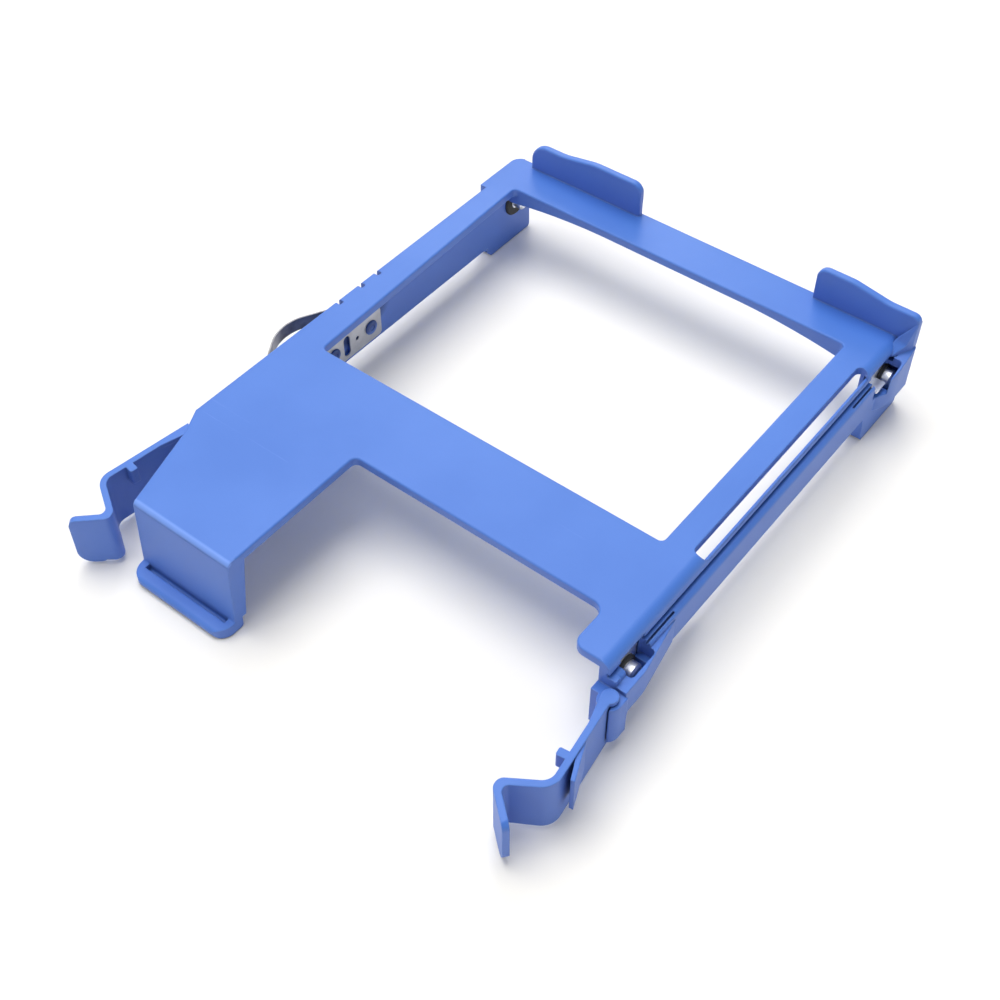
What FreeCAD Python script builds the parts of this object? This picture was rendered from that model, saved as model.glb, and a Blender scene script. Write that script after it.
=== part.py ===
import FreeCAD, Part
import math
import os

# Hard drive caddy, in millimetres.
# X is across the drive, with 0 on the drive's middle plane. The levers point to -Y, and Z is up.
# While it is modelled, Y 0 is the window's front edge and Z 0 is the surface the caddy lies on.

# The drive that the caddy holds
drive_width = 101.6
drive_hole_height = 6.35
drive_hole_spacing = 101.6
drive_hole_setback = 28.5
drive_side_clearance = 0.8

# Heights
plate_top = 20.0
plate_thick = 2.0
wall_drop = 16.8
foot_length = 17.8
foot_slope = 1.5

# Side walls: an inner wall, a pocket for the leaves, and an outer skirt with a guide rail on it
inner_wall_thick = 1.0
leaf_pocket_width = 0.5
skirt_thick = 0.9
rail_proud = 1.5
rail_drop = 3.9
rail_height = 8.5
rail_radius = 1.4
edge_radius = 2.6
left_edge_radius = 0.6
groove_height = 1.0
groove_depth = 0.6
wall_end_thick = 1.5
rail_low_radius = 0.4
foot_radius = 0.8
flare_length = 14.0
flare_proud = 2.0
flare_rise = 3.0
flare_top_radius = 1.2
left_flare_drop = 7.8
flare_end_radius = 2.0
knuckle_proud = 2.4
knuckle_length = 14.0

# Plate outline
left_bar_inset = 4.9
left_bar_skew = 1.1
right_bar_inset = 6.7
window_radius = 1.2
rear_bar_width = 11.4
rear_end_gap = 6.4
crossbar_width = 20.1
arm_length = 10.5
arm_width = 8.8
arm_radius = 2.5
block_taper_inset = 0.6
block_left_inset = 6.8
block_width = 26.8
block_taper_setback = 6.0
block_taper_length = 20.4
block_corner_radius = 0.9
slot_width = 3.0
slot_inset = 0.8
slot_front_gap = 1.5
slot_rear_gap = 4.2
plate_edge_radius = 0.4
left_pad_length = 15.4
left_pad_proud = 1.4
left_pad_radius = 3.0

# Front wall of the block, with the lip that the caddy stands on
block_wall_depth = 4.3
block_wall_thick = 2.0
block_wall_lean = 1.2
lip_proud = 4.2
lip_height = 2.8
lip_radius = 1.5
lip_slope = 0.4
crease_radius = 0.4
lip_end_radius = 4.0
gutter_width = 1.2
gutter_depth = 1.4
gutter_radius = 0.5
gutter_end_gap = 1.8
block_edge_radius = 1.0

# Rear rib and tabs
rib_thick = 1.6
rib_depth = 2.6
rib_length = 26.0
tab_thick = 1.9
tab_outer_height = 7.2
tab_inner_height = 8.8
tab_end_radius = 2.6
tab_rim_radius = 0.5
tab_blend_length = 9.0
tab_blend_radius = 14.0
tab_proud = 1.4
left_tab_radius = 6.4
left_tab_inset = 4.2
left_tab_length = 32.7
right_tab_radius = 1.8
right_tab_length = 25.8
left_tab_blend = 14.0
right_tab_blend = 9.0
gusset_length = 4.0
gusset_inset = 1.0

# Release levers
hinge_gap = 2.4
hinge_proud = 0.4
running_clearance = 0.3
barrel_radius = 1.2
socket_wall = 1.0
left_socket_height = 6.4
left_end_notch = 5.0
lever_thick = 1.4
lever_drop = 5.0
lever_height = 13.8
lever_length = 21.3
lever_splay = 2.8
lever_tip_drop = 1.6
jog_in = 8.8
jog_forward = 5.3
pad_out = 7.0
pad_forward = 5.8
bend_radius = 2.7
cap_thick = 1.0
cap_proud = 0.5
root_flare_length = 7.0
left_root_drop = 2.2
pad_extra_low = 0.5
pad_extra_high = 0.6
pad_tip_drop = 2.4
pad_tip_radius = 4.5
pad_top_radius = 2.0
pad_root_radius = 2.0
wedge_length = 8.5
wedge_proud = 2.3
wedge_front_gap = 2.6
right_wedge_drop = 0.4
left_wedge_drop = 3.4
wedge_low = 4.9
wedge_thick = 0.9
peg_length = 2.0
peg_width = 1.8
peg_height = 3.8
peg_radius = 0.4
peg_front_gap = 5.6
squeeze_angle = 8.0

# Drive pins, their grommets and their leaves
pin_radius = 1.35
pin_shank_radius = 1.7
pin_reach = 2.4
pin_tip_chamfer = 0.5
pin_head_radius = 2.3
pin_head_proud = 0.5
pin_head_chamfer = 0.5
grommet_radius = 3.0
grommet_flange_radius = 3.8
grommet_flange_thick = 0.65
grommet_chamfer = 0.3
grommet_neck_radius = 2.4
grommet_back_radius = 3.1
grommet_back_thick = 0.8
leaf_thick = 0.4
leaf_height = 8.6
leaf_radius = 1.0
leaf_short_end = 4.5
leaf_long_end = 20.0
pin_window_radius = 3.5
pin_pocket_proud = 1.4
leaf_slit_width = 0.45
leaf_slit_depth = 1.0
leaf_slit_length = 9.0
front_mouth_reach = (3.0, 5.0)
rear_mouth_reach = (8.5, 0.8)
leaf_foot_drop = 2.6
leaf_foot_width = 2.6

# Ground spring on the left wall
spring_thick = 0.3
spring_plate_length = 20.0
spring_plate_height = 8.1
spring_plate_drop = 7.9
spring_plate_front_y = 5.0
spring_plate_radius = 1.0
spring_slit_y = 13.0
spring_slit_width = 2.1
spring_slit_depth = 0.75
spring_slit_height = 5.8
spring_dot_y = 16.6
spring_dot_radius = 0.5
tongue_drop = 4.3
tongue_height = 3.3
tongue_width = 3.0
tongue_y = 21.2
tongue_slot_width = 1.2
bow_proud = 7.4
bow_length = 30.2
bow_rear_gap = 5.4
bow_crown_share = 0.52
bow_radius = 11.0
bow_root_radius = 2.5
bow_hook_radius = 0.5
bow_hook_depth = 0.7
stake_radius = 1.0
stake_head_radius = 1.9
stake_head_thick = 0.45
stake_end_gap = 3.6
stake_dimple_radius = 0.9
notch_width = 1.3
notch_depth = 1.6
notch_places = (13.9, 21.4, 27.0)

# Places that follow from the sizes above
inner_x = drive_width / 2 + drive_side_clearance
pocket_x = inner_x + inner_wall_thick
skirt_x = pocket_x + leaf_pocket_width
edge_x = skirt_x + skirt_thick
outer_x = edge_x + rail_proud
tab_end_x = outer_x + tab_proud
flare_x = outer_x + flare_proud
plate_under = plate_top - plate_thick
wall_low = plate_top - wall_drop
rail_top = plate_top - rail_drop
rail_low = rail_top - rail_height
arm_front_y = -crossbar_width - arm_length
window_left = left_bar_inset - inner_x
window_right = inner_x - right_bar_inset
block_taper_x = block_taper_inset - inner_x
block_left_x = block_left_inset - inner_x
block_right_x = block_left_x + block_width
block_taper_y = arm_front_y - block_taper_setback
block_front_y = block_taper_y - block_taper_length
drive_end_y = block_front_y + block_wall_depth
front_pin_y = drive_end_y + drive_hole_setback
rear_pin_y = front_pin_y + drive_hole_spacing
rear_y = rear_pin_y + rear_end_gap
window_rear_y = rear_y - rear_bar_width
slot_rear_y = window_rear_y - slot_rear_gap
foot_front_y = rear_y - foot_length
pin_z = plate_under - drive_hole_height
hinge_x = outer_x + hinge_proud
knuckle_x = outer_x + knuckle_proud
hinge_y = arm_front_y - hinge_gap
lever_top = plate_top - lever_drop
lever_low = lever_top - lever_height
socket_bore = barrel_radius + running_clearance
socket_radius = socket_bore + socket_wall
cap_low = lever_top - cap_thick
cap_radius = barrel_radius + cap_proud


def vec(x, y, z):
    return FreeCAD.Vector(x, y, z)


def in_plan(z):
    return lambda u, v: vec(u, v, z)


def in_section_x(x):
    return lambda u, v: vec(x, u, v)


def in_section_y(y):
    return lambda u, v: vec(u, y, v)


def rounded_face(corners, place):
    # A face through (u, v, radius) corners, where each corner is an arc of its radius.
    edges = []
    starts = []
    ends = []
    arcs = []
    count = len(corners)
    for index in range(count):
        before = corners[index - 1]
        here = corners[index]
        after = corners[(index + 1) % count]
        back = (before[0] - here[0], before[1] - here[1])
        onward = (after[0] - here[0], after[1] - here[1])
        back_length = math.hypot(*back)
        onward_length = math.hypot(*onward)
        back = (back[0] / back_length, back[1] / back_length)
        onward = (onward[0] / onward_length, onward[1] / onward_length)
        half = math.acos(max(-1.0, min(1.0, back[0] * onward[0] + back[1] * onward[1]))) / 2
        reach = min(here[2] / math.tan(half), 0.49 * back_length, 0.49 * onward_length)
        radius = reach * math.tan(half)
        starts.append((here[0] + back[0] * reach, here[1] + back[1] * reach))
        ends.append((here[0] + onward[0] * reach, here[1] + onward[1] * reach))
        if radius > 0:
            middle = (back[0] + onward[0], back[1] + onward[1])
            size = math.hypot(*middle)
            inset = (radius / math.sin(half) - radius) / size
            arcs.append((here[0] + middle[0] * inset, here[1] + middle[1] * inset))
        else:
            arcs.append(None)
    for index in range(count):
        if arcs[index]:
            arc = Part.Arc(place(*starts[index]), place(*arcs[index]), place(*ends[index]))
            edges.append(arc.toShape())
        edges.append(Part.makeLine(place(*ends[index]), place(*starts[(index + 1) % count])))
    return Part.Face(Part.Wire(edges))


def plan_prism(corners, low, high):
    return rounded_face(corners, in_plan(low)).extrude(vec(0, 0, high - low))


def x_prism(corners, left, right):
    return rounded_face(corners, in_section_x(left)).extrude(vec(right - left, 0, 0))


def y_prism(corners, front, rear):
    return rounded_face(corners, in_section_y(front)).extrude(vec(0, rear - front, 0))


def rectangle(left, low, right, high, radius=0.0):
    return [(left, low, radius), (right, low, radius), (right, high, radius), (left, high, radius)]


def block(left, front, low, right, rear, high):
    return Part.makeBox(right - left, rear - front, high - low, vec(left, front, low))


def mirrored(shape):
    return shape.mirror(vec(0, 0, 0), vec(1, 0, 0))


def both_sides(shape):
    return [shape, mirrored(shape)]


def strip_corners(path, thick, radii):
    # Corners of a strip of even thickness along an open path, with one inner radius per bend.
    sides = ([], [])
    last = len(path) - 1
    for index, point in enumerate(path):
        normals = []
        for first, second in ((index - 1, index), (index, index + 1)):
            if first >= 0 and second <= last:
                run = (path[second][0] - path[first][0], path[second][1] - path[first][1])
                size = math.hypot(*run)
                normals.append((-run[1] / size, run[0] / size))
        if len(normals) == 1:
            offset = normals[0]
            left_radius = right_radius = 0.0
        else:
            total = (normals[0][0] + normals[1][0], normals[0][1] + normals[1][1])
            share = 2 / (total[0] ** 2 + total[1] ** 2)
            offset = (total[0] * share, total[1] * share)
            turn = normals[0][0] * normals[1][1] - normals[0][1] * normals[1][0]
            inner = radii[index - 1]
            left_radius = inner if turn > 0 else inner + thick
            right_radius = inner + thick if turn > 0 else inner
        half = thick / 2
        sides[0].append((point[0] + offset[0] * half, point[1] + offset[1] * half, left_radius))
        sides[1].append((point[0] - offset[0] * half, point[1] - offset[1] * half, right_radius))
    return sides[0] + sides[1][::-1]


def edge_cutter(radius):
    # The waste outside a rounded edge: a square corner less a quarter round, at the origin.
    far = radius + 1.0
    corner = [(0, 0, 0), (far, 0, 0), (far, far, 0), (0, far, 0)]
    waste = rounded_face(corner, in_section_y(0.0))
    return waste.cut(rounded_face([(-far, -far, 0), (radius, -far, 0), (radius, radius, radius),
                                   (-far, radius, 0)], in_section_y(0.0)))


def make_plate():
    outline = [
        (-edge_x, rear_y, 0.0),
        (-edge_x, arm_front_y, 1.0),
        (block_taper_x, block_taper_y, 1.0),
        (block_left_x, block_front_y, block_corner_radius),
        (block_right_x, block_front_y, block_corner_radius),
        (block_right_x, -crossbar_width, 1.5),
        (edge_x - arm_width, -crossbar_width, arm_radius),
        (edge_x - arm_width, arm_front_y, arm_radius),
        (edge_x, arm_front_y, 1.0),
        (edge_x, rear_y, 0.0),
    ]
    plate = plan_prism(outline, plate_under, plate_top)
    window = [(window_left + left_bar_skew, 0.0, window_radius), (window_right, 0.0, window_radius),
              (window_right, window_rear_y, window_radius),
              (window_left - left_bar_skew, window_rear_y, window_radius)]
    plate = plate.cut(plan_prism(window, plate_under, plate_top))
    top_edges = [edge for edge in plate.Edges if edge.BoundBox.ZMin > plate_top - 1e-6]
    return plate.makeFillet(plate_edge_radius, top_edges)


def make_side_wall(inner_spans, flare_top):
    # One side wall on +X: the skirt and its rail, the lengths of inner wall, the end webs and the foot.
    wall = block(skirt_x, arm_front_y, rail_low, edge_x, rear_y, plate_top)
    groove = block(edge_x - groove_depth, arm_front_y, rail_top, edge_x, rear_y, rail_top + groove_height)
    wall = wall.cut(groove)
    rail = y_prism([(skirt_x, rail_low, 0.0), (outer_x, rail_low, rail_low_radius),
                    (outer_x, rail_top, rail_radius), (skirt_x, rail_top, 0.0)], arm_front_y, rear_y)
    flare = plan_prism([(edge_x, rear_y - flare_length, 0.0), (outer_x, rear_y - flare_length, flare_length),
                        (flare_x, rear_pin_y - pin_window_radius, flare_length),
                        (flare_x, rear_y, flare_end_radius), (edge_x, rear_y, 0.0)], rail_low, flare_top)
    front_top = min(flare_top, rail_top - rail_radius)
    slope = [(rear_y - flare_length, rail_low, 0.0), (rear_y, rail_low, 0.0),
             (rear_y, flare_top, flare_top_radius), (rear_y - flare_length, front_top, 0.0)]
    flare = flare.common(x_prism(slope, edge_x, flare_x))
    parting = block(edge_x, rear_y - flare_length, rail_top, edge_x + groove_depth, rear_y, plate_top)
    flare = flare.cut(parting)
    wall = wall.fuse([rail, flare])
    for front, rear in inner_spans:
        wall = wall.fuse(block(inner_x, front, wall_low, pocket_x, rear, plate_under))
    wall = wall.fuse(block(inner_x, arm_front_y, wall_low, outer_x, arm_front_y + wall_end_thick, rail_top))
    wall = wall.fuse(block(inner_x, arm_front_y, rail_top, edge_x - groove_depth,
                           arm_front_y + wall_end_thick, plate_under))
    wall = wall.fuse(block(inner_x, rear_y - wall_end_thick, wall_low, skirt_x, rear_y, plate_under))
    foot_top = wall_low + foot_radius
    outer_top = rail_low + foot_radius
    foot = [(foot_front_y, foot_top, 0.0), (foot_front_y + foot_slope, 0.0, foot_radius),
            (rear_y, 0.0, foot_radius), (rear_y, foot_top, 0.0)]
    outer_foot = [(foot_front_y, outer_top, 0.0), (foot_front_y + foot_slope, 0.0, foot_radius),
                  (rear_y, 0.0, foot_radius), (rear_y, outer_top, 0.0)]
    foot_web = block(pocket_x, rear_y - wall_end_thick, 0.0, skirt_x, rear_y, foot_top)
    return wall.fuse([x_prism(foot, inner_x, pocket_x), x_prism(outer_foot, skirt_x, outer_x), foot_web])


def make_socket(high, bulge_top):
    # The knuckle at the front end of a side wall, with the clip that the lever's barrel snaps into.
    ring = Part.makeCylinder(socket_radius, high - wall_low, vec(hinge_x, hinge_y, wall_low))
    bridge = block(inner_x, hinge_y, wall_low, hinge_x + socket_radius, arm_front_y, high)
    knuckle = plan_prism([(edge_x, front_pin_y, 0.0), (edge_x, arm_front_y, 0.0),
                          (knuckle_x, arm_front_y, 0.0), (outer_x, front_pin_y, 0.0)], wall_low, high)
    bulge_rear_y = front_pin_y + knuckle_length
    bulge = [(edge_x, bulge_rear_y, 0.0), (edge_x, arm_front_y, 0.0), (knuckle_x, arm_front_y, 0.0),
             (knuckle_x, front_pin_y, knuckle_length), (outer_x, bulge_rear_y, knuckle_length)]
    return ring.fuse([bridge, knuckle, plan_prism(bulge, rail_low, bulge_top)])


def make_socket_room():
    # What is cut from the frame for one lever: the bore, the mouth for the arm and the cap's room.
    bore = Part.makeCylinder(socket_bore, plate_under, vec(hinge_x, hinge_y, 0.0))
    high = lever_top + running_clearance
    cap_room = Part.makeCylinder(socket_radius, high - cap_low + running_clearance,
                                 vec(hinge_x, hinge_y, cap_low - running_clearance))
    reach = socket_radius + socket_wall
    angle = math.atan2(lever_splay, lever_length)
    along = (math.sin(angle), -math.cos(angle))
    outward = (math.cos(angle), math.sin(angle))
    outer_half = lever_thick / 2 + running_clearance
    inner_half = outer_half + reach * math.sin(math.radians(squeeze_angle))
    mouth = [
        (hinge_x + outward[0] * outer_half, hinge_y + outward[1] * outer_half, 0.0),
        (hinge_x + along[0] * reach + outward[0] * outer_half,
         hinge_y + along[1] * reach + outward[1] * outer_half, 0.0),
        (hinge_x + along[0] * reach - outward[0] * inner_half,
         hinge_y + along[1] * reach - outward[1] * inner_half, 0.0),
        (hinge_x - outward[0] * outer_half, hinge_y - outward[1] * outer_half, 0.0),
    ]
    return bore.fuse(cap_room).fuse(plan_prism(mouth, wall_low, high))


def make_block_front():
    # The block's leaning front wall with its end gussets and the rounded lip along the bottom.
    foot_y = block_front_y - block_wall_lean
    lip_y = foot_y - lip_proud
    back_y = block_front_y + block_wall_thick
    section = [
        (block_front_y, plate_top, 0.0),
        (foot_y, lip_height, crease_radius),
        (lip_y, lip_height - lip_slope, lip_radius),
        (lip_y, 0.0, lip_radius),
        (foot_y + block_wall_thick, 0.0, foot_radius),
        (back_y, plate_top, 0.0),
    ]
    wide = x_prism(section, block_left_x, block_right_x)
    lip = [
        (block_left_x, lip_y, lip_end_radius),
        (block_right_x, lip_y, lip_end_radius),
        (block_right_x, back_y, 0.0),
        (block_left_x, back_y, 0.0),
    ]
    wall = wide.common(plan_prism(lip, 0.0, lip_height))
    crease_y = foot_y - crease_radius
    upper = block(block_left_x, crease_y, lip_height - lip_slope, block_right_x, back_y, plate_top)
    wall = wall.fuse(wide.common(upper))
    gutter = [
        (foot_y, plate_under, 0.0),
        (foot_y - gutter_width, plate_under, 0.0),
        (foot_y - gutter_width, lip_height - gutter_depth, gutter_radius),
        (foot_y, lip_height - gutter_depth, gutter_radius),
    ]
    gutter = x_prism(gutter, block_left_x + gutter_end_gap, block_right_x - gutter_end_gap)
    wall = wall.cut(gutter)
    gusset = [
        (block_front_y, plate_under, 0.0),
        (drive_end_y, plate_under, 0.0),
        (back_y, lip_height, 0.0),
        (foot_y + block_wall_thick / 2, lip_height, 0.0),
    ]
    for left in (block_left_x, block_right_x - block_wall_thick):
        wall = wall.fuse(x_prism(gusset, left, left + block_wall_thick))
    return wall


def make_rear_rib():
    # The rib under the rear bar's front edge, deep at each end and running out along the bar.
    ends = plate_under - rib_depth
    ribs = []
    for corner_x, side, wall_x in ((window_left - left_bar_skew, 1, -inner_x), (window_right, -1, inner_x)):
        run_out_x = corner_x + side * rib_length
        place = in_section_y(window_rear_y)
        middle = place(corner_x + side * rib_length * 0.35, plate_under - rib_depth * 0.46)
        corner = place(corner_x, ends)
        run_out = place(run_out_x, plate_under)
        wall_high = place(wall_x, plate_under)
        wall_deep = place(wall_x, ends)
        sides = [
            Part.Arc(corner, middle, run_out).toShape(),
            Part.makeLine(run_out, wall_high),
            Part.makeLine(wall_high, wall_deep),
            Part.makeLine(wall_deep, corner),
        ]
        ribs.append(Part.Face(Part.Wire(sides)).extrude(vec(0, rib_thick, 0)))
    return ribs


def make_tab(outer_end, length, blend, end_radius, low):
    # An upright tab on the rear edge, on +X, low at its outer end and taller at its inner end.
    inner_end = outer_end - length
    outline = [
        (outer_end, plate_top + tab_outer_height, end_radius),
        (inner_end + blend + tab_blend_length, plate_top + tab_outer_height, tab_blend_radius),
        (inner_end + blend, plate_top + tab_inner_height, tab_blend_radius),
        (inner_end, plate_top + tab_inner_height, tab_end_radius),
        (inner_end, plate_under, 0.0),
    ]
    if outer_end > edge_x:
        outline += [(edge_x - skirt_thick, plate_under, 0.0), (edge_x - skirt_thick, low, 0.0)]
    outline.append((outer_end, low, 0.0))
    tab = y_prism(outline, rear_y - tab_thick, rear_y)
    rim = [edge for edge in tab.Edges if edge.BoundBox.ZMin > plate_top and edge.BoundBox.YLength < 1e-6]
    return tab.makeFillet(tab_rim_radius, rim)


def make_right_tab():
    # The right tab runs down past the plate's edge onto the rail, with a gusset in front of it.
    face_y = rear_y - tab_thick
    tab = make_tab(tab_end_x, right_tab_length, right_tab_blend, right_tab_radius, rail_low)
    low = plate_top - edge_radius
    high = plate_top + tab_outer_height - right_tab_radius
    inner = edge_x - gusset_inset
    front = face_y - gusset_length
    plan = [(inner, rear_y, 0.0), (tab_end_x, rear_y, 0.0), (tab_end_x, face_y, 0.0),
            (edge_x, front, gusset_length), (inner, front, 0.0)]
    lean = [(inner, low, 0.0), (tab_end_x, low, 0.0), (tab_end_x, high, 0.0),
            (tab_end_x - tab_rim_radius, high, 0.0), (inner, plate_top, 0.0)]
    slope = [(rear_y, low, 0.0), (rear_y, high, 0.0), (face_y, high, 0.0),
             (face_y - gusset_length / 3, plate_top, gusset_length / 2), (front, low, 0.0)]
    gusset = plan_prism(plan, low, high).common(x_prism(slope, inner, tab_end_x))
    return tab.fuse(gusset.common(y_prism(lean, front, rear_y)))


def spring_plate_middle():
    return plate_top - spring_plate_drop - spring_plate_height / 2


def stake_places():
    return (spring_plate_front_y + stake_end_gap,
            spring_plate_front_y + spring_plate_length - stake_end_gap)


def make_stakes():
    # The two rivet-headed posts on the left wall that hold the ground spring.
    posts = []
    for place_y in stake_places():
        high = spring_plate_middle()
        post = Part.makeCylinder(stake_radius, spring_thick + inner_wall_thick,
                                 vec(-pocket_x, place_y, high), vec(1, 0, 0))
        head = Part.makeCylinder(stake_head_radius, stake_head_thick,
                                 vec(-inner_x + spring_thick, place_y, high), vec(1, 0, 0))
        top = -inner_x + spring_thick + stake_head_thick
        rim = [edge for edge in head.Edges if edge.BoundBox.XMin > top - 1e-6]
        dimple = Part.makeCylinder(stake_dimple_radius, stake_head_thick,
                                   vec(top - stake_head_thick / 2, place_y, high), vec(1, 0, 0))
        posts.append(post.fuse(head.makeFillet(stake_head_thick * 0.8, rim)).cut(dimple))
    return posts


def make_spring_cuts():
    # The openings in the left wall for the spring, and the three notches in the left edge.
    high = plate_top - tongue_drop + running_clearance
    low = plate_top - tongue_drop - tongue_height - running_clearance
    half = tongue_slot_width / 2
    tongue = block(-outer_x, tongue_y - half, low, -inner_x, tongue_y + half, high)
    hook_y = tongue_y - bow_length
    hook = block(-outer_x, hook_y - half, low, -outer_x + bow_hook_depth + running_clearance,
                 hook_y + 2 * half, high)
    middle = spring_plate_middle()
    slit_back = -inner_x - spring_slit_depth
    slit = block(slit_back, spring_slit_y - spring_slit_width / 2, middle - spring_slit_height / 2, -inner_x,
                 spring_slit_y + spring_slit_width / 2, middle + spring_slit_height / 2)
    dot = Part.makeCylinder(spring_dot_radius, spring_slit_depth, vec(slit_back, spring_dot_y, middle),
                            vec(1, 0, 0))
    notches = [block(-edge_x, place_y - notch_width / 2, plate_under - notch_depth, notch_depth - edge_x,
                     place_y + notch_width / 2, plate_top) for place_y in notch_places]
    return [tongue, hook, slit, dot] + notches


def make_pin_pocket(pin_y, reach, long_side):
    # What is cut from the right rail for one pin: a pocket open at the top, and a slit along the leaf.
    pocket_end = outer_x + pin_pocket_proud
    high = plate_under
    radius = pin_window_radius
    well = Part.makeCylinder(radius, pocket_end - skirt_x, vec(skirt_x, pin_y, pin_z), vec(1, 0, 0))
    mouth = rectangle(skirt_x, pin_y - reach[0], pocket_end, pin_y + reach[1], 2 * leaf_slit_width)
    slit_ends = sorted((pin_y, pin_y + long_side * (max(reach) + leaf_slit_length)))
    slit_left = (edge_x + outer_x - leaf_slit_width) / 2
    slit = block(slit_left, slit_ends[0], rail_top - leaf_slit_depth, slit_left + leaf_slit_width,
                 slit_ends[1], high)
    return well.fuse([plan_prism(mouth, pin_z, high), slit])


def make_edge_waste(radius):
    # What is cut away to round the plate's edge on +X.
    waste = edge_cutter(radius).extrude(vec(0, rear_y - arm_front_y, 0))
    waste.translate(vec(edge_x - radius, arm_front_y, plate_top - radius))
    return waste


def make_frame():
    frame = make_plate()
    full_length = [(arm_front_y, rear_y)]
    split_length = [(arm_front_y, slot_front_gap), (slot_rear_y, rear_y)]
    frame = frame.fuse([make_side_wall(split_length, rail_top + flare_rise),
                        mirrored(make_side_wall(full_length, plate_top - left_flare_drop))])
    frame = frame.cut([make_edge_waste(edge_radius), mirrored(make_edge_waste(left_edge_radius))])
    slot_left = inner_x - slot_inset
    slot = rectangle(slot_left, slot_front_gap, slot_left + slot_width, slot_rear_y, slot_width / 2.2)
    frame = frame.cut(plan_prism(slot, plate_under, plate_top))
    left_high = wall_low + left_socket_height
    frame = frame.fuse([make_socket(cap_low - running_clearance, rail_top - rail_radius),
                        mirrored(make_socket(left_high, left_high))])
    frame = frame.cut(both_sides(make_socket_room()))
    pad_x = -edge_x - left_pad_proud
    corner_x = pad_x + left_pad_radius
    corner_y = rear_y - left_pad_radius
    frame = frame.fuse(block(pad_x, rear_y - left_pad_length, plate_under, left_edge_radius - edge_x, rear_y,
                             plate_top))
    corner = block(pad_x, corner_y, plate_under, corner_x, rear_y, plate_top)
    frame = frame.cut(corner.cut(Part.makeCylinder(left_pad_radius, plate_thick,
                                                   vec(corner_x, corner_y, plate_under))))
    frame = frame.cut(block(-outer_x, arm_front_y, rail_top - left_end_notch, groove_depth - edge_x,
                            arm_front_y + wall_end_thick, plate_under))
    left_end = edge_x - left_tab_inset
    left_tab = make_tab(left_end, left_tab_length, left_tab_blend, left_tab_radius, plate_under)
    frame = frame.fuse([make_block_front(), make_right_tab(), mirrored(left_tab)] + make_rear_rib())
    front_edge = edge_cutter(block_edge_radius)
    front_edge = front_edge.extrude(vec(0, block_right_x - block_left_x + 2 * lip_proud, 0))
    front_edge.rotate(vec(0, 0, 0), vec(0, 0, 1), -90)
    front_edge.translate(vec(block_left_x - lip_proud, block_front_y + block_edge_radius,
                             plate_top - block_edge_radius))
    frame = frame.cut(front_edge)
    for pin_y, reach, long_side in ((front_pin_y, front_mouth_reach, 1), (rear_pin_y, rear_mouth_reach, -1)):
        frame = frame.cut(both_sides(make_pin_pocket(pin_y, reach, long_side)))
        hole = Part.makeCylinder(grommet_radius, inner_wall_thick, vec(inner_x, pin_y, pin_z), vec(1, 0, 0))
        frame = frame.cut(both_sides(hole))
    frame = frame.cut(make_spring_cuts())
    return frame.fuse(make_stakes()).removeSplitter()


def lever_path():
    tip = (hinge_x + lever_splay, hinge_y - lever_length)
    bend = (tip[0] - jog_in, tip[1] - jog_forward)
    pad = (bend[0] + pad_out, bend[1] - pad_forward)
    return (hinge_x, hinge_y), tip, bend, pad


def make_lever(wedge_drop, root_drop):
    # The right lever: barrel and cap at the hinge, arm, jog, finger pad, latch finger and stop peg.
    root, tip, bend, pad = lever_path()
    pad_middle = ((bend[0] + pad[0]) / 2, (bend[1] + pad[1]) / 2)
    path = strip_corners([root, tip, bend, pad_middle], lever_thick, [bend_radius, bend_radius])
    lever = plan_prism(path, lever_low, lever_top)
    barrel_height = lever_top - root_drop - wall_low
    barrel = Part.makeCylinder(barrel_radius, barrel_height, vec(root[0], root[1], wall_low))
    cap = Part.makeCylinder(cap_radius, cap_thick, vec(root[0], root[1], cap_low - root_drop))
    angle = math.atan2(tip[0] - root[0], root[1] - tip[1])
    along = (math.sin(angle), -math.cos(angle))
    outward = (math.cos(angle), math.sin(angle))

    def on_arm(distance, side):
        return (root[0] + along[0] * distance + outward[0] * side,
                root[1] + along[1] * distance + outward[1] * side)

    half = lever_thick / 2
    flare = [on_arm(-barrel_radius, half) + (0.0,), on_arm(root_flare_length, half) + (0.0,),
             on_arm(root_flare_length, -half) + (0.0,), on_arm(0.0, -cap_radius) + (0.0,),
             on_arm(-barrel_radius, -half) + (0.0,)]
    lever = lever.fuse([barrel, cap, plan_prism(flare, cap_low, lever_top)])
    arm_length_along = math.hypot(tip[0] - root[0], tip[1] - root[1])
    wedge_front = arm_length_along - wedge_front_gap
    wedge_root = wedge_front - wedge_length
    wedge = [on_arm(wedge_root, 0.0) + (0.0,), on_arm(wedge_root, half) + (0.0,),
             on_arm(wedge_front, half + wedge_proud) + (0.0,),
             on_arm(wedge_front, half + wedge_proud - wedge_thick) + (0.0,),
             on_arm(wedge_root + 2 * wedge_thick, 0.0) + (0.0,)]
    latch = plan_prism(wedge, wedge_low, lever_top - wedge_drop)
    peg_front = arm_length_along - peg_front_gap
    peg = [on_arm(peg_front - peg_width, 0.0) + (0.0,), on_arm(peg_front, 0.0) + (0.0,),
           on_arm(peg_front, -half - peg_length) + (peg_radius,),
           on_arm(peg_front - peg_width, -half - peg_length) + (peg_radius,)]
    lever = lever.fuse([latch, plan_prism(peg, lever_top - peg_height, lever_top), make_pad(bend, pad)])
    end_y = pad[1] - lever_thick
    above = lever_top + lever_height
    slope = [(tip[1], lever_top, 0.0), (end_y, lever_top - lever_tip_drop, 0.0), (end_y, above, 0.0),
             (tip[1], above, 0.0)]
    lever = lever.cut(x_prism(slope, 0.0, 2 * knuckle_x))
    return lever.removeSplitter()


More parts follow.
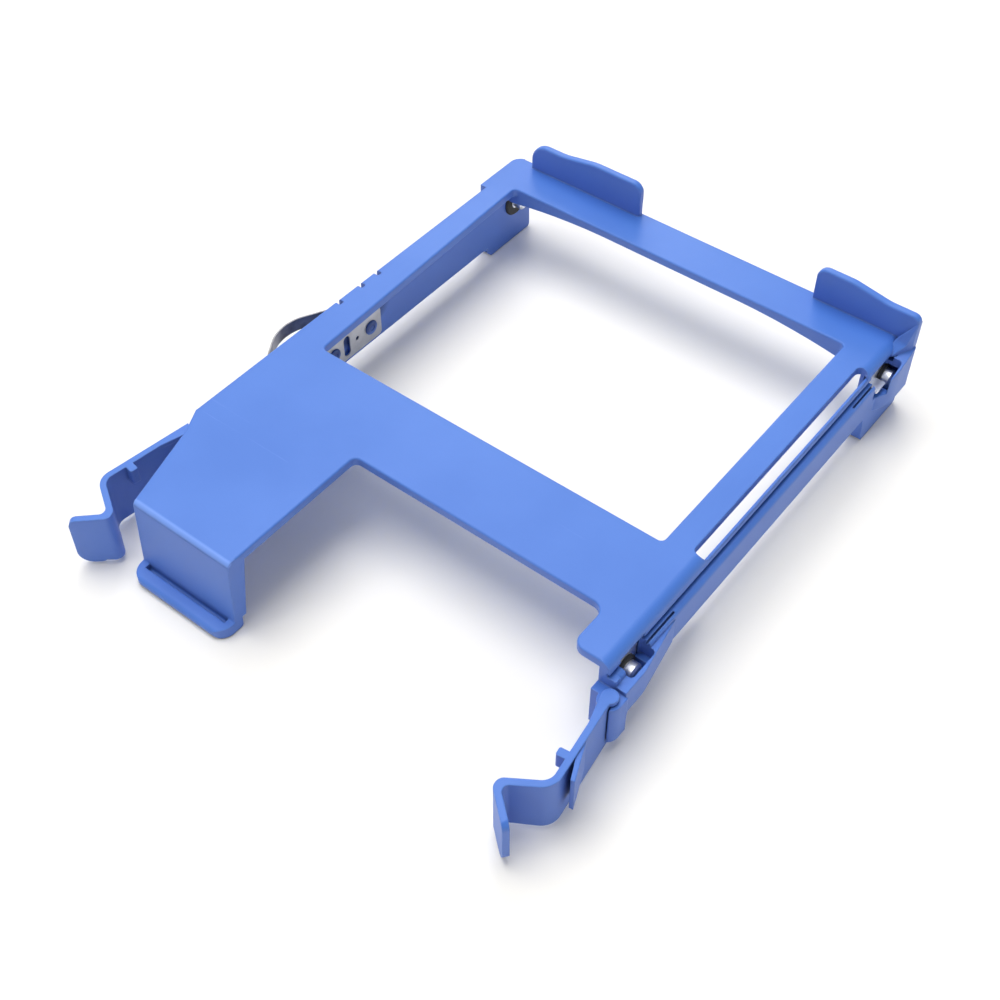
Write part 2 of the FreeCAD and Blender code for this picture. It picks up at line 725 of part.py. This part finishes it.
def make_pad(bend, pad):
    # The finger pad: a rounded plate from just past the last bend to the lever's tip.
    length = math.hypot(pad[0] - bend[0], pad[1] - bend[1])
    low = lever_low - pad_extra_low
    high = lever_top + pad_extra_high
    outline = [
        (bend_radius, low, pad_root_radius),
        (length, low, pad_tip_radius),
        (length, high - pad_tip_drop, pad_top_radius),
        (bend_radius, high, pad_extra_high),
    ]
    plate = rounded_face(outline, in_section_y(-lever_thick / 2)).extrude(vec(0, lever_thick, 0))
    plate.rotate(vec(0, 0, 0), vec(0, 0, 1), math.degrees(math.atan2(pad[1] - bend[1], pad[0] - bend[0])))
    plate.translate(vec(bend[0], bend[1], 0))
    return plate


def revolved(profile, place_y):
    # Turns an (x, radius) profile about a pin's axis.
    points = [vec(x, place_y, pin_z + radius) for x, radius in profile]
    face = Part.Face(Part.makePolygon(points + points[:1]))
    return face.revolve(vec(0, place_y, pin_z), vec(1, 0, 0), 360)


def make_pin(place_y):
    tip_x = drive_width / 2 - pin_reach
    shoulder_x = inner_x - grommet_flange_thick
    seat_x = pocket_x + leaf_thick + grommet_back_thick
    face_x = outer_x + pin_head_proud
    profile = [
        (tip_x, 0.0),
        (tip_x, pin_radius - pin_tip_chamfer),
        (tip_x + pin_tip_chamfer, pin_radius),
        (shoulder_x, pin_radius),
        (shoulder_x, pin_shank_radius),
        (seat_x, pin_shank_radius),
        (seat_x, pin_head_radius),
        (face_x - pin_head_chamfer, pin_head_radius),
        (face_x, pin_head_radius - pin_head_chamfer),
        (face_x, 0.0),
    ]
    return revolved(profile, place_y)


def make_grommet(place_y):
    leaf_x = pocket_x + leaf_thick
    back_x = leaf_x + grommet_back_thick
    profile = [
        (inner_x - grommet_flange_thick, pin_shank_radius),
        (inner_x - grommet_flange_thick, grommet_flange_radius - grommet_chamfer),
        (inner_x - grommet_flange_thick + grommet_chamfer, grommet_flange_radius),
        (inner_x, grommet_flange_radius),
        (inner_x, grommet_radius),
        (pocket_x, grommet_radius),
        (pocket_x, grommet_neck_radius),
        (leaf_x, grommet_neck_radius),
        (leaf_x, grommet_back_radius),
        (back_x - grommet_chamfer, grommet_back_radius),
        (back_x, grommet_back_radius - grommet_chamfer),
        (back_x, pin_shank_radius),
    ]
    return revolved(profile, place_y)


def make_leaf(place_y, long_side):
    ends = sorted((place_y + long_side * leaf_long_end, place_y - long_side * leaf_short_end))
    half = leaf_height / 2
    outline = rectangle(ends[0], pin_z - half, ends[1], pin_z + half, leaf_radius)
    leaf = x_prism(outline, pocket_x, pocket_x + leaf_thick)
    hole = Part.makeCylinder(grommet_neck_radius, leaf_thick, vec(pocket_x, place_y, pin_z), vec(1, 0, 0))
    leaf = leaf.cut(hole)
    if long_side < 0:
        # The rear leaf's foot, bent out into the pocket in front of the pin.
        high = rail_top - leaf_foot_drop
        foot_front = place_y - rear_mouth_reach[0] + 2 * leaf_slit_width
        foot_rear = place_y - grommet_back_radius - running_clearance
        foot = rectangle(pocket_x, foot_front, skirt_x + leaf_foot_width, foot_rear, leaf_slit_width)
        leaf = leaf.fuse(plan_prism(foot, high - leaf_thick, high)).removeSplitter()
    return leaf


def make_ground_spring():
    # A thin plate inside the left wall, with a tongue bent out through the wall into a long bow.
    middle = spring_plate_middle()
    half = spring_plate_height / 2
    front = spring_plate_front_y
    inside = -inner_x + spring_thick
    outline = rectangle(front, middle - half, front + spring_plate_length, middle + half, spring_plate_radius)
    plate = x_prism(outline, -inner_x, inside)
    tongue_high = plate_top - tongue_drop
    tongue_low = tongue_high - tongue_height
    plate_end = tongue_y + spring_thick / 2
    plate = plate.fuse(block(-inner_x, plate_end - tongue_width, middle, inside, plate_end, tongue_high))
    for place_y in stake_places():
        plate = plate.cut(Part.makeCylinder(stake_radius, spring_thick, vec(-inner_x, place_y, middle),
                                            vec(1, 0, 0)))
    slit_half = spring_slit_height / 2
    slit = rectangle(spring_slit_y - spring_slit_width / 2, middle - slit_half,
                     spring_slit_y + spring_slit_width / 2, middle + slit_half, spring_slit_width / 2.1)
    plate = plate.cut(x_prism(slit, -inner_x, inside))
    plate = plate.cut(Part.makeCylinder(spring_dot_radius, spring_thick, vec(-inner_x, spring_dot_y, middle),
                                        vec(1, 0, 0)))
    flat_x = -outer_x - running_clearance - spring_thick / 2
    bow_rear = tongue_y - bow_rear_gap
    bow_front = tongue_y - bow_length
    bow = [(-inner_x + spring_thick / 2, tongue_y), (flat_x, tongue_y), (flat_x, bow_rear),
           (-outer_x - bow_proud, bow_rear + (bow_front - bow_rear) * bow_crown_share),
           (-outer_x - running_clearance, bow_front + bow_hook_depth), (-outer_x + bow_hook_depth, bow_front)]
    bow_bends = [bow_hook_radius, bow_root_radius, bow_radius, bow_hook_radius]
    tongue = plan_prism(strip_corners(bow, spring_thick, bow_bends), tongue_low, tongue_high)
    return plate.fuse(tongue).removeSplitter()


def make_nodes():
    nodes = {
        "caddy_frame": make_frame(),
        "right_release_lever": make_lever(right_wedge_drop, 0.0),
        "left_release_lever": mirrored(make_lever(left_wedge_drop, left_root_drop)),
        "ground_spring": make_ground_spring(),
    }
    for end, place_y, long_side in (("front", front_pin_y, 1), ("rear", rear_pin_y, -1)):
        pieces = {"leaf": make_leaf(place_y, long_side), "pin": make_pin(place_y),
                  "grommet": make_grommet(place_y)}
        for name, shape in pieces.items():
            nodes[f"right_{end}_{name}"] = shape
            nodes[f"left_{end}_{name}"] = mirrored(shape)
    return nodes


def write_nodes(nodes):
    # The origin goes to the middle of the whole caddy's underside.
    box = Part.makeCompound(list(nodes.values())).optimalBoundingBox(False, False)
    shift = vec(-box.Center.x, -box.Center.y, -box.ZMin)
    os.makedirs("parts", exist_ok=True)
    for name, shape in nodes.items():
        moved = shape.copy()
        moved.translate(shift)
        moved.exportStep(f"parts/{name}.step")
    print("origin moved by", shift, "size", box.XLength, box.YLength, box.ZLength)


write_nodes(make_nodes())
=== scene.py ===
import math
import bpy
from mathutils import Euler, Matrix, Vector

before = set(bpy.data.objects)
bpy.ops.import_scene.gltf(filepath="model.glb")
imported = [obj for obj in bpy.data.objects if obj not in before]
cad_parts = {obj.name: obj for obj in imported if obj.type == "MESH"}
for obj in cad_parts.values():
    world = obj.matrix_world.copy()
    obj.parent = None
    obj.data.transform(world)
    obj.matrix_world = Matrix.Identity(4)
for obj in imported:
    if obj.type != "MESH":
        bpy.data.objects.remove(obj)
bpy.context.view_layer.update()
scene = bpy.context.scene
scene.view_settings.view_transform = "Standard"
print("frame loaded:", len(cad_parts), "nodes")


# shader maths: a socket that takes part in Python expressions
class Socket:
    def __init__(self, tree, output):
        self.tree = tree
        self.output = output

    def combine(self, operation, first, second):
        return addNode(self.tree, "Math", {"operation": operation}, {0: first, 1: second})

    def __add__(self, other):
        return self.combine("ADD", self, other)

    def __radd__(self, other):
        return self.combine("ADD", other, self)

    def __sub__(self, other):
        return self.combine("SUBTRACT", self, other)

    def __rsub__(self, other):
        return self.combine("SUBTRACT", other, self)

    def __mul__(self, other):
        return self.combine("MULTIPLY", self, other)

    def __rmul__(self, other):
        return self.combine("MULTIPLY", other, self)


def addNode(tree, kind, settings=None, values=None, output=0):
    node = tree.nodes.new("ShaderNode" + kind)
    for name, value in (settings or {}).items():
        if name == "stops":  # a colour ramp's two stops, as (place, grey)
            for index, (place, grey) in enumerate(value):
                stop = node.color_ramp.elements[index]
                stop.position = place
                stop.color = (grey, grey, grey, 1)
        else:
            setattr(node, name, value)
    for name, value in (values or {}).items():
        if isinstance(value, Socket):
            tree.links.new(value.output, node.inputs[name])
        else:
            node.inputs[name].default_value = value
    return Socket(tree, node.outputs[output])


def newMaterial(name):
    material = bpy.data.materials.new(name)
    material.use_nodes = True
    tree = material.node_tree
    tree.nodes.clear()
    return material, tree


def finishMaterial(tree, shader):
    output = tree.nodes.new("ShaderNodeOutputMaterial")
    tree.links.new(shader.output, output.inputs["Surface"])


def mixColour(tree, factor, first, second):
    # the Mix node's colour sockets share their names with others, so they go by index
    return addNode(tree, "Mix", {"data_type": "RGBA"}, {0: factor, 6: first, 7: second}, output=2)


def objectPlace(tree):
    return addNode(tree, "TexCoord", output="Object")


def stretchedPlace(tree, scale, turn=(0, 0, 0)):
    return addNode(tree, "Mapping", {}, {"Vector": objectPlace(tree), "Scale": scale, "Rotation": turn})


def noise(tree, place, scale, detail, rough=0.5):
    values = {"Vector": place, "Scale": scale, "Detail": detail, "Roughness": rough}
    return addNode(tree, "TexNoise", {}, values)


def vectorMath(tree, operation, *vectors, output="Vector"):
    return addNode(tree, "VectorMath", {"operation": operation}, dict(enumerate(vectors)), output)


def distanceFrom(tree, place, centre, scale):
    offset = vectorMath(tree, "SUBTRACT", place, centre)
    offset = vectorMath(tree, "MULTIPLY", offset, scale)
    return vectorMath(tree, "LENGTH", offset, output="Value")


def ramp(tree, value, low, high):
    return addNode(tree, "ValToRGB", {"stops": [(low, 0.0), (high, 1.0)]}, {"Fac": value})


# moulded blue plastic: satin and faintly mottled, with grain and scuffs; edges lightened partly by wear and
# partly as a painted highlight, upright faces greyed by a painted reflection, and painted shade in crevices;
# a range gives a ramp's two stops, and an amount is a layer's share
bluePlastic = {
    "colour": (0.064, 0.190, 0.635, 1), "deepColour": (0.058, 0.174, 0.595, 1),
    "flowScale": 38.0, "flowRange": (0.35, 0.68), "flowRoughness": 0.07, "flowHeight": 1.5,
    "grainScale": 2300.0, "bumpStrength": 0.10, "bumpDepth": 0.00012,
    "scuffColour": (0.13, 0.26, 0.72, 1), "scuffStretch": (26.0, 900.0, 300.0), "scuffTurn": 24.0,
    "scuffRange": (0.66, 0.74), "scuffAmount": 0.5, "scuffRoughness": 0.12,
    "scuffAreaScale": 60.0, "scuffAreaRange": (0.50, 0.66),
    # edges lightened: partly wear, partly a painted highlight
    "wornAndLitColour": (0.19, 0.35, 0.86, 1), "edgeRadius": 0.00045, "edgeRange": (0.015, 0.12),
    "wearScale": 420.0, "wearRange": (0.38, 0.62), "wearLeast": 0.35, "wornAndLitAmount": 0.55,
    "wearPolish": 0.05,
    # upright faces greyed: a painted reflection of the white surroundings
    "uprightReflectionColour": (0.125, 0.212, 0.60, 1), "uprightRange": (0.15, 0.60),
    "uprightAmount": 0.45, "uprightMottle": 0.25,
    # a painted highlight: the pale line along the block's front edge
    "highlightPlace": (0, -0.06555, 0.01980), "highlightScale": (0, 1000, 1000), "highlightRange": (0.40, 0.92),
    "highlightAmount": 0.75,
    # painted shade round the staked spring plate, and in slits, gutters and notches
    "paintedShadeColour": (0.014, 0.030, 0.110, 1),
    "shadePlace": (-0.0515, 0.00607, 0.01165), "shadeScale": (100, 40, 100),
    "shadeRange": (0.40, 0.56), "shadeAmount": 0.72,
    "creviceReach": 0.0014, "creviceRange": (0.30, 0.72), "creviceAmount": 0.6,
    "roughness": 0.42, "ior": 1.5, "specular": 0.40, "samples": 6,
}


def makeBluePlastic():
    values = bluePlastic
    material, tree = newMaterial("bluePlastic")
    place = objectPlace(tree)
    flow = ramp(tree, noise(tree, place, values["flowScale"], detail=4.0), *values["flowRange"])
    grain = noise(tree, place, values["grainScale"], detail=2.0)

    scuffTurn = (0, 0, math.radians(values["scuffTurn"]))
    scuffPlace = stretchedPlace(tree, values["scuffStretch"], scuffTurn)
    scuffNoise = noise(tree, scuffPlace, scale=1.0, detail=3.0, rough=0.6)
    areaNoise = noise(tree, place, values["scuffAreaScale"], detail=2.0)
    scuffs = ramp(tree, scuffNoise, *values["scuffRange"]) * ramp(tree, areaNoise, *values["scuffAreaRange"])

    rounded = addNode(tree, "Bevel", {"samples": values["samples"]}, {"Radius": values["edgeRadius"]})
    facing = addNode(tree, "NewGeometry", output="Normal")
    straight = vectorMath(tree, "DOT_PRODUCT", rounded, facing, output="Value")
    # convex edges lightened, partly as wear and partly as a painted highlight
    edge = ramp(tree, 1 - straight, *values["edgeRange"])
    patchy = ramp(tree, noise(tree, place, values["wearScale"], detail=3.0), *values["wearRange"])
    wornAndLit = edge * (values["wearLeast"] + (1 - values["wearLeast"]) * patchy)

    rise = addNode(tree, "SeparateXYZ", {}, {0: facing}, output="Z")
    flatness = addNode(tree, "Math", {"operation": "ABSOLUTE"}, {0: rise})
    # upright faces greyed as a painted reflection
    upright = 1 - ramp(tree, flatness, *values["uprightRange"])
    # painted highlight along the block's front top edge
    highlightDistance = distanceFrom(tree, place, values["highlightPlace"], values["highlightScale"])
    frontEdgeHighlight = 1 - ramp(tree, highlightDistance, *values["highlightRange"])
    # painted shade round the staked spring plate
    shadeDistance = distanceFrom(tree, place, values["shadePlace"], values["shadeScale"])
    plateShade = 1 - ramp(tree, shadeDistance, *values["shadeRange"])
    # painted shade in crevices, from ambient occlusion
    openness = addNode(tree, "AmbientOcclusion", {"samples": values["samples"]},
                       {"Distance": values["creviceReach"]}, output="AO")
    creviceShade = 1 - ramp(tree, openness, *values["creviceRange"])

    colour = mixColour(tree, flow, values["colour"], values["deepColour"])
    layers = [
        (upright * (values["uprightAmount"] + values["uprightMottle"] * flow), "uprightReflectionColour"),
        (scuffs * values["scuffAmount"], "scuffColour"),
        (wornAndLit * values["wornAndLitAmount"], "wornAndLitColour"),
        (frontEdgeHighlight * values["highlightAmount"], "wornAndLitColour"),
        (plateShade * values["shadeAmount"], "paintedShadeColour"),
        (creviceShade * values["creviceAmount"], "paintedShadeColour"),
    ]
    for amount, layerColour in layers:
        colour = mixColour(tree, amount, colour, values[layerColour])
    roughness = (values["roughness"] + values["flowRoughness"] * flow
                 + values["scuffRoughness"] * scuffs - values["wearPolish"] * wornAndLit)
    bump = addNode(tree, "Bump", {}, {
        "Strength": values["bumpStrength"], "Distance": values["bumpDepth"],
        "Height": grain + values["flowHeight"] * flow, "Normal": rounded,
    })
    shader = addNode(tree, "BsdfPrincipled", {}, {
        "Base Color": colour, "Roughness": roughness, "Normal": bump,
        "IOR": values["ior"], "Specular IOR Level": values["specular"],
    })
    finishMaterial(tree, shader)
    return material


# what the two rolled steel strips share: long rolling lines and a few dull patches
rolledStrip = {
    "lineStretch": (1.0, 0.04, 1.0), "lineScale": 5200.0, "lineRoughness": 0.08,
    "patchScale": 240.0, "patchRange": (0.45, 0.75), "patchAmount": 0.6, "patchRoughness": 0.16,
    "bumpStrength": 0.12, "bumpDepth": 0.00005,
}

# the ground spring's strip, dark on the bowed tongue outside the wall
springSteel = {
    "colour": (0.60, 0.61, 0.63, 1), "dullColour": (0.42, 0.42, 0.44, 1), "roughness": 0.26,
    "bowColour": (0.13, 0.125, 0.135, 1), "bowStart": 0.0548, "bowFade": 0.0012, "bowAmount": 0.75,
    "bowRoughness": 0.10, "rampScale": 10,
}

# the pin leaves' strip, paler
leafSteel = {"colour": (0.84, 0.86, 0.89, 1), "dullColour": (0.68, 0.70, 0.73, 1), "roughness": 0.32}


def makeSpringSteel(name, finishValues):
    values = {**rolledStrip, **finishValues}
    material, tree = newMaterial(name)
    lines = noise(tree, stretchedPlace(tree, values["lineStretch"]), values["lineScale"], detail=3.0)
    patchNoise = noise(tree, objectPlace(tree), values["patchScale"], detail=4.0)
    patches = ramp(tree, patchNoise, *values["patchRange"])
    colour = mixColour(tree, values["patchAmount"] * patches, values["colour"], values["dullColour"])
    roughness = values["roughness"] + values["patchRoughness"] * patches + values["lineRoughness"] * lines
    if "bowColour" in values:
        scale, start = values["rampScale"], values["bowStart"]
        side = addNode(tree, "SeparateXYZ", {}, {0: objectPlace(tree)}, output="X")
        bow = ramp(tree, -scale * side, scale * start, scale * (start + values["bowFade"]))
        amount = bow * (values["bowAmount"] + (1 - values["bowAmount"]) * patches)
        colour = mixColour(tree, amount, colour, values["bowColour"])
        roughness = roughness + values["bowRoughness"] * bow
    bump = addNode(tree, "Bump", {}, {
        "Strength": values["bumpStrength"], "Distance": values["bumpDepth"], "Height": lines,
    })
    shader = addNode(tree, "BsdfPrincipled", {}, {
        "Base Color": colour, "Metallic": 1.0, "Roughness": roughness, "Normal": bump,
    })
    finishMaterial(tree, shader)
    return material


# turned pin steel, with fine marks across the pin
pinSteel = {
    "colour": (0.80, 0.82, 0.85, 1), "grooveColour": (0.60, 0.61, 0.64, 1), "roughness": 0.30,
    "turnStretch": (1.0, 0.05, 0.05), "turnScale": 9000.0, "markRange": (0.40, 0.70),
    "markAmount": 0.4, "markRoughness": 0.12, "bumpStrength": 0.15, "bumpDepth": 0.00004,
}


def makePinSteel():
    values = pinSteel
    material, tree = newMaterial("pinSteel")
    turning = noise(tree, stretchedPlace(tree, values["turnStretch"]), values["turnScale"], detail=2.0)
    marks = ramp(tree, turning, *values["markRange"])
    colour = mixColour(tree, values["markAmount"] * marks, values["colour"], values["grooveColour"])
    roughness = values["roughness"] + values["markRoughness"] * marks
    bump = addNode(tree, "Bump", {}, {
        "Strength": values["bumpStrength"], "Distance": values["bumpDepth"], "Height": turning,
    })
    shader = addNode(tree, "BsdfPrincipled", {}, {
        "Base Color": colour, "Metallic": 1.0, "Roughness": roughness, "Normal": bump,
    })
    finishMaterial(tree, shader)
    return material


# black grommet rubber, a little dusty
grommetRubber = {
    "colour": (0.012, 0.012, 0.014, 1), "dustColour": (0.060, 0.060, 0.064, 1), "roughness": 0.62,
    "dustScale": 700.0, "dustRange": (0.48, 0.72), "dustAmount": 0.6, "dustRoughness": 0.2,
    "poreScale": 3800.0, "bumpStrength": 0.25, "bumpDepth": 0.00008,
}


def makeGrommetRubber():
    values = grommetRubber
    material, tree = newMaterial("grommetRubber")
    place = objectPlace(tree)
    dust = ramp(tree, noise(tree, place, values["dustScale"], detail=4.0), *values["dustRange"])
    pores = noise(tree, place, values["poreScale"], detail=2.0)
    colour = mixColour(tree, values["dustAmount"] * dust, values["colour"], values["dustColour"])
    roughness = values["roughness"] + values["dustRoughness"] * dust
    bump = addNode(tree, "Bump", {}, {
        "Strength": values["bumpStrength"], "Distance": values["bumpDepth"], "Height": pores,
    })
    shader = addNode(tree, "BsdfPrincipled", {}, {
        "Base Color": colour, "Roughness": roughness, "Normal": bump,
    })
    finishMaterial(tree, shader)
    return material


plasticNodes = ["caddy_frame", "left_release_lever", "right_release_lever"]
plastic = makeBluePlastic()
spring = makeSpringSteel("springSteel", springSteel)
leaf = makeSpringSteel("leafSteel", leafSteel)
pin = makePinSteel()
rubber = makeGrommetRubber()
for name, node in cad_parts.items():
    if name in plasticNodes:
        finish = plastic
    elif name.endswith("_pin"):
        finish = pin
    elif name.endswith("_grommet"):
        finish = rubber
    elif name.endswith("_leaf"):
        finish = leaf
    else:
        finish = spring
    node.data.materials.clear()
    node.data.materials.append(finish)
print("materials on", len(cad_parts), "nodes")


# white sweep: plain pale floor that keeps the shadow near the part and runs out to white
floorSweep = {
    "size": 4.0, "height": -0.0002, "colour": (0.97, 0.95, 0.905, 1), "lift": 0.06,
    "plainTo": 0.22, "whiteFrom": 0.55,
}


def seenOrMirrored(tree):
    seen = addNode(tree, "LightPath", output="Is Camera Ray")
    mirrored = addNode(tree, "LightPath", output="Is Glossy Ray")
    return seen + mirrored


def makeFloor():
    values = floorSweep
    bpy.ops.object.select_all(action="DESELECT")
    bpy.ops.mesh.primitive_plane_add(size=values["size"], location=(0, 0, values["height"]))
    floor = bpy.context.object
    floor.name = "studioFloor"
    material, tree = newMaterial("paleFloor")
    diffuse = addNode(tree, "BsdfDiffuse", {}, {"Color": values["colour"]})
    glow = addNode(tree, "Emission", {}, {"Color": (1, 1, 1, 1), "Strength": 1.0})
    reach = vectorMath(tree, "LENGTH", objectPlace(tree), output="Value")
    far = ramp(tree, reach, values["plainTo"], values["whiteFrom"])
    share = seenOrMirrored(tree) * (values["lift"] + (1 - values["lift"]) * far)
    shader = addNode(tree, "MixShader", {}, {0: share, 1: diffuse, 2: glow})
    finishMaterial(tree, shader)
    floor.data.materials.append(material)


# the world is white where it is seen or mirrored, and a weak fill where it lights
studioWorld = {"fill": 0.29, "white": 1.0}


def makeWorld():
    values = studioWorld
    world = bpy.data.worlds.new("studioWorld")
    scene.world = world
    world.use_nodes = True
    tree = world.node_tree
    tree.nodes.clear()
    strength = values["fill"] + (values["white"] - values["fill"]) * seenOrMirrored(tree)
    shader = addNode(tree, "Background", {}, {"Color": (1, 1, 1, 1), "Strength": strength})
    output = tree.nodes.new("ShaderNodeOutputWorld")
    tree.links.new(shader.output, output.inputs["Surface"])


# one large soft box high above the left side, and small weak ones low at the front, the back and the right
softBoxes = {
    "keyBox": {"azimuth": -108.0, "elevation": 73.0, "distance": 4.5, "size": 3.9, "power": 200.0},
    "edgeBox": {"azimuth": -30.0, "elevation": 28.0, "distance": 4.5, "size": 1.2, "power": 19.0},
    "backBox": {"azimuth": -146.0, "elevation": 30.0, "distance": 4.5, "size": 1.5, "power": 36.0},
    "sideBox": {"azimuth": 85.0, "elevation": 20.0, "distance": 4.5, "size": 1.6, "power": 18.0},
}


def outwardFrom(values):
    azimuth, elevation = math.radians(values["azimuth"]), math.radians(values["elevation"])
    level = math.cos(elevation)
    return Vector((math.sin(azimuth) * level, -math.cos(azimuth) * level, math.sin(elevation)))


def makeLights():
    for name, values in softBoxes.items():
        outward = outwardFrom(values)
        light = bpy.data.lights.new(name, "AREA")
        light.shape = "SQUARE"
        light.size = values["size"]
        light.energy = values["power"]
        lamp = bpy.data.objects.new(name, light)
        scene.collection.objects.link(lamp)
        lamp.location = outward * values["distance"]
        lamp.rotation_euler = (-outward).to_track_quat("-Z", "Y").to_euler()


# camera at the photograph's angle
cameraPlace = {
    "azimuth": 38.13, "elevation": 48.54, "roll": -0.06,
    "target": (0.01304, -0.02002, 0.020), "distance": 0.29147, "lens": 52.17,
    "sensor": 36.0, "nearest": 0.01,
}


def makeCamera():
    values = cameraPlace
    outward = outwardFrom(values)
    data = bpy.data.cameras.new("photoCamera")
    data.sensor_width = values["sensor"]
    data.lens = values["lens"]
    data.clip_start = values["nearest"]
    camera = bpy.data.objects.new("photoCamera", data)
    scene.collection.objects.link(camera)
    camera.location = Vector(values["target"]) + outward * values["distance"]
    roll = Euler((0, 0, math.radians(values["roll"]))).to_quaternion()
    camera.rotation_euler = ((-outward).to_track_quat("-Z", "Y") @ roll).to_euler()
    scene.camera = camera


makeFloor()
makeWorld()
makeLights()
makeCamera()
print("stage, lights and camera set")
